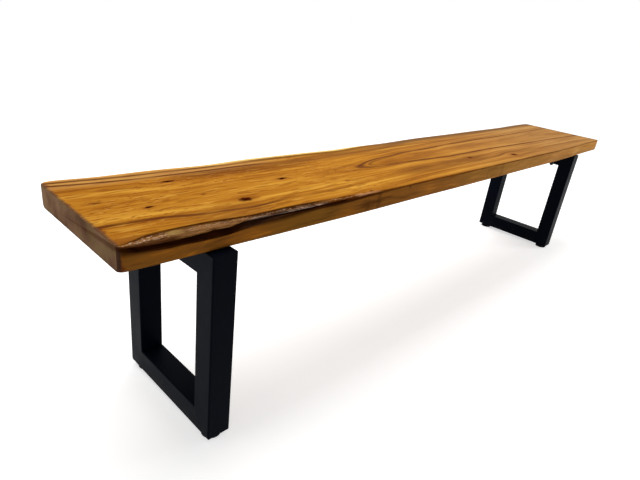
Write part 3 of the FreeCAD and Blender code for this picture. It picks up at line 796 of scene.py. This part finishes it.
def sound_wood(at, rings):
    """The planed wood's own colour: streaks that follow the rings, golden at the left, paler at the right."""
    fibre = grain(at.places, "fibre")
    tone = grain(rings, "broad") * 0.38 + grain(rings, "ring_streak") * 0.32
    tone = tone + (grain(at.places, "cloud") * 0.18 + fibre * 0.12)
    tone = tone + fade_mm(at.x, -800, -880, -0.012, 0.022)
    wood = blend(fade_mm(at.x, -420, 900), shade_of(tone, GOLDEN_TONES), shade_of(tone, PALER_TONES))
    left = fade_mm(at.x, -150, -600)
    # Short ticks, dark and pale, lie in clusters between the knots.
    cluster = fade(grain(at.places, "cluster"), 0.42, 0.56, 0.15, 1.0)
    wood = stained(
        wood,
        dash=fade(grain(at.places, "dash"), 0.57, 0.66) * left,
        gleam=fade(grain(at.places, "gleam"), 0.59, 0.69) * left,
        dark_tick=fade(grain(at.places, "dark_tick"), 0.6, 0.68) * cluster * left,
        pale_tick=fade(grain(at.places, "pale_tick"), 0.6, 0.68) * cluster * left,
    )
    return wood, tone, fibre


def back_edge(at, colour):
    """Sapwood along the back edge in the left half, partly a painted highlight, a dark line inside it,
    and the blotched rear face.
    """
    sap_width = fade_mm(at.x, -80, -280) * fade_mm(at.x, -1040, -640, 0.5, 1.0) * SAPWOOD_WIDTH
    inward = at.from_rear + at.ragged
    past = inward - sap_width
    # The sapwood's pale tint is partly a painted highlight along the back edge.
    sapwood = blend(fade_mm(at.x, -820, -640), *SAPWOOD_TINTS)
    colour = blend(fade_mm(past, 2, -2) * SAPWOOD_COVER, colour, sapwood)
    line = span(past, 0, 3, 12, 19) * fade_mm(at.x, 100, -200) * fade_mm(at.x, -660, -560)
    colour = stained(colour, inside_sapwood=line, dull_back=fade_mm(at.x, -240, 0) * fade_mm(inward, 46, 20))
    on_rear = fade_mm(at.down, 1.5, 5) * fade_mm(at.from_rear, 8, 3)
    return blend(on_rear * REAR_COVER, colour, shade_of(at.blotch, REAR_TONES))


def top_shades(at, colour):
    """Two brown shades on the top, beside the wane and inside the back edge."""
    by_wane = span(at.x, -960, -880, -790, -730) * fade_mm(at.from_front, 100, 40)
    by_back = span(at.x, -880, -720, -220, -20) * span(at.y, 64, 86, 108, 126)
    shade = most(by_wane * 0.5, by_back * fade_mm(at.x, -620, -420, 0.15, 0.45))
    return blend(shade * at.patchy, colour, TOP_SHADE)


def front_face(at, colour, tone):
    """The natural front face, darker than the planed top, most at the left, the stains that lie on it, and painted
    shadow under its lip and along its top arris, and painted shade along its rounded lower edge.
    """
    on_front = at.upright * fade_mm(at.from_front, 9, 4)
    face_tone = tone * 0.55 + at.blotch * 0.45
    to_right = fade_mm(at.x, -620, 900)
    face = blend(to_right, *(shade_of(face_tone, tones) for tones in FRONT_TONES))
    olive = blend(to_right, *OLIVE_TINTS)
    face = blend(fade(at.slow, 0.42, 0.6) * OLIVE_COVER, face, olive)
    colour = blend(on_front * FRONT_COVER, colour, face)
    # A painted shadow under the lip reaches further down towards the left.
    reach = fade_mm(at.x, -740, -640, 20 * MM, 12 * MM) - fade_mm(at.x, -620, -330, 0, 8 * MM)
    below = (at.down + at.ragged * 0.5) / reach
    # Darker to below the groove at the left end; the lower half is darker at the right; a painted shade
    # darkens the rounded lower edge.
    colour = stained(
        colour,
        under_lip=fade(below, 1.0, 0.4) * span(at.x, -860, -810, -420, -260) * on_front,
        below_groove=fade_mm(at.down, 23, 12) * fade_mm(at.x, -940, -1000) * on_front,
        low_right=fade_mm(at.down, 18, 34) * fade_mm(at.x, 350, 620) * on_front,
        lower_edge=fade_mm(at.up, 6, 1) * fade_mm(at.from_front, 14, 7),
    )
    for place, width, low, darkness in FRONT_MARKS:
        off = abs(at.ragged * 0.3 + (at.x - place * MM))
        body = fade_mm(off, width, width * 0.3) * on_front * darkness
        colour = blend(body * fade_mm(at.down, low + 2, low), colour, FRONT_MARK)
    # A painted shadow line along the front face's top arris, patchy, and stronger towards the left.
    arris = fade_mm(at.down, 5, 3) * fade_mm(at.down, 0, 1) * fade_mm(at.from_front, 9, 5)
    arris = arris * fade(at.patchy, 0.65, 1.0, 0.6, 1.0)
    return blend(arris * fade_mm(at.x, 850, 350, 0.45, 0.85), colour, FRONT_ARRIS)


def end_wood(at, radius):
    """End grain: matt and greyer, with faint growth rings and close pores."""
    rings = value_of(at.tree, "ShaderNodeCombineXYZ", {0: at.x, 1: radius})
    tone = grain(rings, "end_ring") * 0.1 + grain(at.places, "end_pores") * 0.16
    tone = grain(at.places, "end_cloud") * 0.74 + tone
    return stained(shade_of(tone, END_TONES), end_olive=fade(grain(at.places, "end_olive"), 0.48, 0.6))


def slab_ends(at, colour, radius, end_grain):
    """The finish soaks in at the ends and darkens their rims; the corners and the right end's rim are darker too,
    round the bare end grain, and a painted shade darkens the end grain's lower and rear rims.
    """
    soaked = abs(at.x) - SLAB_HIGH.x + (grain(at.places, "soaked") - 0.58) * SOAKED_DEPTH
    front_or_rear = most(fade_mm(at.from_front, 22, 12), fade_mm(at.from_rear, 20, 10))
    colour = stained(
        colour,
        rim=fade_mm(soaked, -10, -3) * fade_mm(at.x, 0, -900),
        near_corner=fade_mm(at.x, -985, -1030) * fade_mm(at.from_front, 60, 20) * fade_mm(at.from_front, 5, 9),
        left_arris=fade_mm(at.from_left, 6, 2) * fade_mm(at.down, 12, 4),
        right_rim=fade_mm(at.from_right, 20, 4),
        corner=fade_mm(at.from_left, 5, 2) * at.upright * front_or_rear,
    )
    colour = blend(end_grain, colour, end_wood(at, radius))
    # A painted shade on the end grain's lower and rear rims.
    low_or_rear = most(fade_mm(at.up, 5, 1), fade_mm(at.from_rear, 9, 3))
    return stained(colour, end_grain_rim=low_or_rear * end_grain)


def bare_wood(at, mark):
    """The weathered wane: a dark stain at its shoulder, greyish and flecked down to its lip, nearly black beneath;
    painted highlights on its ridges, lip and roll, and painted shade in its furrows and in one hollow.
    """
    x = at.x
    colour = None
    for start, end, tones in WANE_TONES:
        tones_here = shade_of(mark / FOOT, tones + GROOVE_TONES)
        colour = blend(fade_mm(x, start, end), colour, tones_here) if colour else tones_here
    rough = carried(at.tree, "ridge") * 0.6 + grain(at.places, "wane_fibre") * 0.4
    # A painted shade in the furrows and a painted highlight on the ridges, following the worn relief.
    colour = blend(1.0, colour, shade_of(rough, RIDGE_TONES), "MULTIPLY")
    fresh = most(fade_mm(x, -946, -964), fade_mm(x, -940, -920, 0.1, 0.4))
    on_slope = fade(mark, 0.14, 0.24) * fade(mark, 0.56, 0.36)
    # Where the wane has all but run out, a painted highlight lies pale along its roll for a short way; further left,
    # a painted shade darkens one hollow.
    colour = stained(
        colour,
        fleck=fade(grain(at.places, "fleck"), 0.53, 0.61) * fresh * on_slope,
        wane_olive=span(x, -968, -957, -944, -930) * fade(mark, 0.14, 0.2) * fade(mark, 0.5, 0.4),
        wane_hollow=span(x, -850, -815, -755, -728) * fade(mark, 0.4, 0.75),
        rubbed_roll=span(x, -548, -524, -478, -450) * fade(mark, 0.9, 0.5),
    )
    return colour, rough


def hardwood():
    """Solid wood: growth rings round a pith line below the slab, cut by whichever face shows."""
    material, shader, places = new_material("oiled_hardwood_figure")
    at = slab_places(places)
    knot_dark, knot_ring, push = knots_at(at)
    radius, outcrop = among_rings(at, push)
    rings = value_of(at.tree, "ShaderNodeCombineXYZ", {0: at.x, 1: radius, 2: outcrop * RING_DRIFT})
    colour, tone, fibre = sound_wood(at, rings)
    pale_back = fade_mm(at.from_rear, 66, 38) * fade_mm(at.x, -460, -640)
    lines = most(growth_lines_at(at, outcrop), cathedral_at(at, radius)) * at.patchy
    colour = stained(colour, pale_back=pale_back, growth_line=lines)
    colour = top_shades(at, back_edge(at, colour))
    colour = stained(colour, knot_ring=knot_ring, knot_heart=knot_dark)
    colour = front_face(at, colour, tone)
    end_grain = carried(at.tree, "end_grain")
    colour = slab_ends(at, colour, radius, end_grain)

    # The bare wane starts sharply at its shoulder, and softly near the left end.
    mark = carried(at.tree, "mark")
    weathered, rough = bare_wood(at, mark)
    sharp = fade(mark, 0.0, SHOULDER)
    soft = fade(mark, 0.0, SOFT_SHOULDER)
    bared = carried(at.tree, "bare") * ((soft - sharp) * fade_mm(at.x, -935, -975) + sharp)

    dull = fade(bared, 0.0, 0.5, 0.42, 0.85) + fibre * 0.16 + end_grain * 0.25
    pitted = lines * 0.2 + knot_dark * 0.6
    dress(shader, {
        "Base Color": blend(bared, colour, weathered), "Roughness": dull,
        "Specular IOR Level": knot_dark * -OIL_SHEEN + OIL_SHEEN,
    }, rough * bared - (pitted + fibre * 0.1), 1.0 * MM)
    return material


# The other finishes

def powder_coat():
    """Satin black powder coat: fine orange peel, a few soft rubs, a little dust near the floor."""
    material, shader, places = new_material("black_powder_coat")
    z = axes_of(places)[2]
    peel = patches(places, 1.3, 1.3)
    cloud = patches(places, 150, 150, 3, 0.6)
    rub = patches(places, 16, 16, 4, 0.7, 5)
    colour = shade_of(cloud, [(0.35, (2, 5, 13)), (0.65, (6, 10, 20))])
    colour = blend(fade(rub, 0.62, 0.8, 0.0, 0.3), colour, (44, 45, 48))
    colour = blend(fade_mm(z, 70, 10) * fade(rub, 0.45, 0.7) * 0.12, colour, (70, 66, 60))
    dress(shader, {
        "Base Color": colour, "Roughness": fade(cloud, 0.3, 0.7, 0.38, 0.52), "Specular IOR Level": 0.02,
    }, peel, 0.05 * MM, 0.6)
    return material


def zinc_plate():
    """Bright zinc on steel, duller in patches, with a faint yellow cast."""
    material, shader, places = new_material("zinc_plated_steel")
    cloud = patches(places, 6, 6, 3, 0.6)
    fine = patches(places, 0.5, 0.5)
    dress(shader, {
        "Base Color": shade_of(cloud, [(0.35, (160, 160, 152)), (0.65, (198, 197, 188))]),
        "Metallic": 1.0, "Roughness": fade(cloud, 0.3, 0.7, 0.28, 0.46),
    }, fine, 0.02 * MM, 0.5)
    return material


def black_oxide():
    """Blackened steel with a dry, oily sheen, browner in patches and rubbed on fine specks."""
    material, shader, places = new_material("blackened_steel_bolts")
    cloud = patches(places, 5, 5, 3, 0.6)
    rub = patches(places, 0.9, 0.9, 3, 0.7)
    colour = shade_of(cloud, [(0.35, (26, 26, 29)), (0.65, (38, 34, 32))])
    dress(shader, {
        "Base Color": blend(fade(rub, 0.62, 0.8, 0.0, 0.4), colour, (96, 94, 92)),
        "Metallic": 0.8, "Roughness": fade(cloud, 0.3, 0.7, 0.42, 0.58),
    }, rub, 0.02 * MM, 0.5)
    return material


def nylon():
    """Moulded black nylon with a fine matt grain, greyer where it is scuffed near the floor."""
    material, shader, places = new_material("black_nylon_moulding")
    z = axes_of(places)[2]
    fine = patches(places, 0.7, 0.7, 3, 0.6)
    scuff = patches(places, 11, 11, 4, 0.7)
    colour = shade_of(fine, [(0.3, (15, 15, 17)), (0.7, (24, 24, 26))])
    dress(shader, {
        "Base Color": blend(fade(scuff, 0.5, 0.7) * fade_mm(z, 3, 0) * 0.5, colour, (76, 74, 70)),
        "Roughness": fade(scuff, 0.3, 0.7, 0.55, 0.75), "Specular IOR Level": 0.1,
    }, fine, 0.05 * MM, 0.6)
    return material


# Shapes that follow a rule, as Geometry Nodes

def new_tree(name, inputs):
    """A tree for a modifier, with named inputs; gives the tree and what goes in."""
    tree = bpy.data.node_groups.new(name, "GeometryNodeTree")
    tree.is_modifier = True
    for key, kind in {"Geometry": "Geometry", **inputs}.items():
        tree.interface.new_socket(key, in_out="INPUT", socket_type="NodeSocket" + kind)
    tree.interface.new_socket("Geometry", in_out="OUTPUT", socket_type="NodeSocketGeometry")
    return tree, values_of(add_node(tree, "NodeGroupInput"))


def named(tree, name):
    """A number that the mesh carries, in a tree for a modifier."""
    return value_of(tree, "GeometryNodeInputNamedAttribute", {"Name": name}, data_type="FLOAT")


def pressed_in(shape, outward, depth):
    """A shape with its points moved in, against the outward direction."""
    inward = value_of(shape.tree, "ShaderNodeVectorMath", {0: outward, "Scale": depth * -1.0}, operation="SCALE")
    return value_of(shape.tree, "GeometryNodeSetPosition", {"Geometry": shape, "Offset": inward})


def shape_by(piece, tree, values):
    """Runs a tree on a piece and keeps the plain mesh that it makes."""
    modifier = piece.modifiers.new(tree.name, "NODES")
    modifier.node_group = tree
    for item in tree.interface.items_tree:
        if item.in_out == "INPUT" and item.name in values:
            modifier[item.identifier] = values[item.name]
    shaped = piece.evaluated_get(bpy.context.evaluated_depsgraph_get())
    mesh = bpy.data.meshes.new_from_object(shaped)
    piece.modifiers.clear()
    piece.data = mesh


def weathering_tree():
    """Long ridges and furrows on the bare part of a piece, worn into its surface."""
    tree, given = new_tree("weathered_ridges", {
        "Depth": "Float", "Ridge Length": "Float", "Ridge Width": "Float", "Seed": "Float",
    })
    place = value_of(tree, "GeometryNodeInputPosition")
    across = 1.0 / given["Ridge Width"]
    scale = value_of(tree, "ShaderNodeCombineXYZ", {0: 1.0 / given["Ridge Length"], 1: across, 2: across})
    ridge = value_of(tree, "ShaderNodeTexNoise", {
        "Vector": value_of(tree, "ShaderNodeVectorMath", {0: place, 1: scale}, operation="MULTIPLY"),
        "W": given["Seed"], "Scale": 1.0, "Detail": 3.0, "Roughness": 0.6,
    }, noise_dimensions="4D")
    kept = value_of(tree, "GeometryNodeStoreNamedAttribute", {
        "Geometry": given["Geometry"], "Name": "ridge", "Value": ridge,
    }, data_type="FLOAT", domain="POINT")
    worn = fade(ridge, 0.68, 0.32) * named(tree, "bare") * given["Depth"]
    normal = value_of(tree, "GeometryNodeInputNormal")
    add_node(tree, "NodeGroupOutput", {"Geometry": pressed_in(kept, normal, worn)})
    return tree


def screw_tree():
    """Cuts a screw's thread and its head's knurl into a turned blank, then sets a row of them out."""
    tree, given = new_tree("row_of_screws", {
        "Pitch": "Float", "Thread Depth": "Float", "Teeth": "Int", "Knurl Depth": "Float",
        "First Place": "Vector", "Step": "Vector", "Count": "Int", "Finish": "Material",
    })
    x, y, z = axes_of(value_of(tree, "GeometryNodeInputPosition"))
    angle = calc("ARCTAN2", y, x)
    reach = calc("SQRT", x * x + y * y)
    turns = z / given["Pitch"] - angle / math.tau
    flank = abs(calc("FRACT", turns) * 2.0 - 1.0)
    tooth = calc("COSINE", angle * given["Teeth"]) * 0.5 + 0.5
    thread_cut = named(tree, "thread") * flank * given["Thread Depth"]
    knurl_cut = named(tree, "knurl") * tooth * given["Knurl Depth"]
    share = (thread_cut + knurl_cut) / most(reach, NEAR_AXIS)
    radial = value_of(tree, "ShaderNodeCombineXYZ", {0: x, 1: y})
    cut_screw = pressed_in(given["Geometry"], radial, share)
    row = value_of(tree, "GeometryNodeMeshLine", {
        "Count": given["Count"], "Start Location": given["First Place"], "Offset": given["Step"],
    }, mode="OFFSET")
    placed = value_of(tree, "GeometryNodeInstanceOnPoints", {"Points": row, "Instance": cut_screw})
    real = value_of(tree, "GeometryNodeRealizeInstances", {"Geometry": placed})
    finished = value_of(tree, "GeometryNodeSetMaterial", {"Geometry": real, "Material": given["Finish"]})
    add_node(tree, "NodeGroupOutput", {"Geometry": finished})
    return tree


def turned_blank(name, rows, around, material):
    """A closed turned solid; each row of points is what add_row is given."""
    vertices, threads, knurls = [], [], []

    def add_row(height, radius, thread=0, knurl=0, hexagon=False):
        for i in range(around):
            angle = math.tau * i / around
            reach = radius / math.cos(angle % (math.pi / 3) - math.pi / 6) if hexagon else radius
            vertices.append((reach * math.cos(angle), reach * math.sin(angle), height))
            threads.append(thread)
            knurls.append(knurl)

    for row in rows:
        add_row(*row)
    faces = [tuple(reversed(range(around)))]
    faces += rings_of_faces(len(rows), around)
    faces.append(tuple((len(rows) - 1) * around + i for i in range(around)))
    piece = new_object(name, vertices, faces, material)
    carry(piece.data, {"thread": threads, "knurl": knurls})
    return piece


def shank_rows(foot, start, tip):
    """An M8 shank from its foot to its tip, plain up to where the thread starts and bevelled at the tip."""
    radius = M8_DIA / 2
    rows = [(foot, radius)]
    count = int((tip - BEVEL - start) / M8_PITCH * THREAD_ROWS)
    for i in range(count + 1):
        height = start + (tip - BEVEL - start) * i / count
        rows.append((height, radius, min(1, (height - start) / M8_PITCH)))
    return rows + [(tip, radius - BEVEL)]


def cut_and_set_out(piece, tree, finish, first, gap=0.0, count=1, teeth=0):
    """Cuts a blank's thread and knurl, and sets out so many of it along Y from its first place."""
    shape_by(piece, tree, {
        "Pitch": M8_PITCH, "Thread Depth": THREAD_DEPTH, "Teeth": teeth, "Knurl Depth": KNURL_DEPTH,
        "First Place": first, "Step": (0.0, gap, 0.0), "Count": count, "Finish": finish,
    })


def joined(name, pieces):
    """Several blanks as one, each a closed shell of its own."""
    with bpy.context.temp_override(active_object=pieces[0], selected_editable_objects=pieces):
        bpy.ops.object.join()
    pieces[0].name = name
    return pieces[0]


def bolt_row(side, tree, finish):
    """The three socket-head bolts of one frame."""
    low, high = (Vector(corner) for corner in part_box(side + "_bolts"))
    head = HEAD_DIA / 2
    length = high.z - low.z - HEAD_HEIGHT
    head_rows = [
        (-HEAD_HEIGHT + KEY_DEPTH, KEY / 2, 0, 0, True), (-HEAD_HEIGHT, KEY / 2, 0, 0, True),
        (-HEAD_HEIGHT, head - BEVEL), (-HEAD_HEIGHT + BEVEL, head),
        (-HEAD_HEIGHT + KNURL_MARGIN, head, 0, 1), (-KNURL_MARGIN, head, 0, 1), (-BEVEL, head), (0, head),
    ]
    blanks = [
        turned_blank("head", head_rows, HEAD_AROUND, finish),
        turned_blank("shank", shank_rows(-BEVEL, length - BITE, length), SHANK_AROUND, finish),
    ]
    piece = joined(side + "_bolt_row", blanks)
    first = ((low.x + high.x) / 2, low.y + head, low.z + HEAD_HEIGHT)
    gap = (high.y - low.y - HEAD_DIA) / (BOLT_COUNT - 1)
    cut_and_set_out(piece, tree, finish, first, gap, BOLT_COUNT, KNURL_TEETH)
    finish_screw(piece, side + "_bolts", "bench")


def foot_stud(foot, tree, finish):
    """The threaded stud of one levelling foot."""
    low, high = (Vector(corner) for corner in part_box(foot + "_stud"))
    rows = shank_rows(0, STUD_PLAIN, high.z - low.z)
    piece = turned_blank(foot + "_screw", rows, SHANK_AROUND, finish)
    cut_and_set_out(piece, tree, finish, ((low.x + high.x) / 2, (low.y + high.y) / 2, low.z))
    finish_screw(piece, foot + "_stud", foot)


def smooth(piece, sharp_from):
    """Smooth shading, but for edges sharper than this many degrees."""
    for face in piece.data.polygons:
        face.use_smooth = True
    piece.data.set_sharp_from_angle(angle=math.radians(sharp_from))


def finish_screw(piece, node, body):
    smooth(piece, SCREW_SHARP)
    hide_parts(node)
    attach(piece, body)


# The room

def place_camera():
    ahead = Vector((-math.sin(CAMERA_YAW) * math.cos(CAMERA_PITCH),
                    math.cos(CAMERA_YAW) * math.cos(CAMERA_PITCH), math.sin(CAMERA_PITCH)))
    level = Vector((math.cos(CAMERA_YAW), math.sin(CAMERA_YAW), 0))
    above = level.cross(ahead)
    right = level * math.cos(CAMERA_ROLL) + above * math.sin(CAMERA_ROLL)
    up = above * math.cos(CAMERA_ROLL) - level * math.sin(CAMERA_ROLL)
    camera = place_object("camera", bpy.data.cameras.new("camera"))
    camera.data.lens = CAMERA_LENS
    camera.data.clip_start = 0.01
    camera.matrix_world = Matrix.Translation(CAMERA_PLACE) @ Matrix((right, up, -ahead)).transposed().to_4x4()
    bpy.context.scene.camera = camera


def add_lamp(name, place, aim, width, height, power):
    lamp = place_object(name, bpy.data.lights.new(name, "AREA"))
    lamp.data.shape = "RECTANGLE"
    lamp.data.size = width
    lamp.data.size_y = height
    lamp.data.energy = power
    lamp.location = place
    lamp.rotation_euler = (Vector(aim) - Vector(place)).to_track_quat("-Z", "Y").to_euler()


def seen_rays(tree):
    """1 for rays that show the backdrop: straight from the camera, by reflection or through glass."""
    rays = values_of(add_node(tree, "ShaderNodeLightPath"))
    return most(rays["Is Camera Ray"], rays["Is Glossy Ray"], rays["Is Transmission Ray"])


def light_room():
    """A white room seen at full strength, which lights the bench more weakly, and the lamps."""
    world = bpy.data.worlds.new("studio")
    bpy.context.scene.world = world
    tree = empty_tree(world)
    strength = seen_rays(tree) * (1 - ROOM_LIGHT) + ROOM_LIGHT
    background = value_of(tree, "ShaderNodeBackground", {"Color": WHITE, "Strength": strength})
    add_node(tree, "ShaderNodeOutputWorld", {"Surface": background})
    for name, lamp in LAMPS.items():
        add_lamp(name, *lamp)


def lay_floor():
    """A pale floor that turns to plain white further out and keeps a soft shadow near the bench."""
    corners = [(x * FLOOR_REACH, y * FLOOR_REACH, 0) for x, y in ((-1, -1), (1, -1), (1, 1), (-1, 1))]
    material = bpy.data.materials.new("pale_floor")
    tree = empty_tree(material)
    places = value_of(tree, "ShaderNodeTexCoord", output="Object")
    away = value_of(tree, "ShaderNodeVectorMath", {0: places}, "Value", operation="LENGTH")
    glow = value_of(tree, "ShaderNodeEmission", {
        "Color": WHITE, "Strength": fade(away, *FLOOR_GLOW) * seen_rays(tree),
    })
    matt = value_of(tree, "ShaderNodeBsdfDiffuse", {"Color": FLOOR_COLOUR})
    both = value_of(tree, "ShaderNodeAddShader", {0: matt, 1: glow})
    add_node(tree, "ShaderNodeOutputMaterial", {"Surface": both})
    new_object("floor", corners, [(0, 1, 2, 3)], material)


# Making it

place_camera()
light_room()
lay_floor()
bpy.context.scene.view_settings.view_transform = "Standard"

slab = slab_mesh(hardwood())
shape_by(slab, weathering_tree(), WEATHERING)
smooth(slab, SLAB_SHARP)
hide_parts("seat_slab")
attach(slab, "bench")

finishes = {
    "black_steel": powder_coat(), "blackened_steel": black_oxide(),
    "zinc_steel": zinc_plate(), "black_nylon": nylon(),
}
screws = screw_tree()
for side in ("left", "right"):
    bolt_row(side, screws, finishes["blackened_steel"])
    for end in ("front", "rear"):
        foot_stud(side + "_" + end + "_foot", screws, finishes["zinc_steel"])
for part in frame["record"]["subparts"]:
    finish = finishes.get(part["material_slot"])
    if finish:
        for slot in frame["nodes"][part["node"]].material_slots:
            slot.material = finish
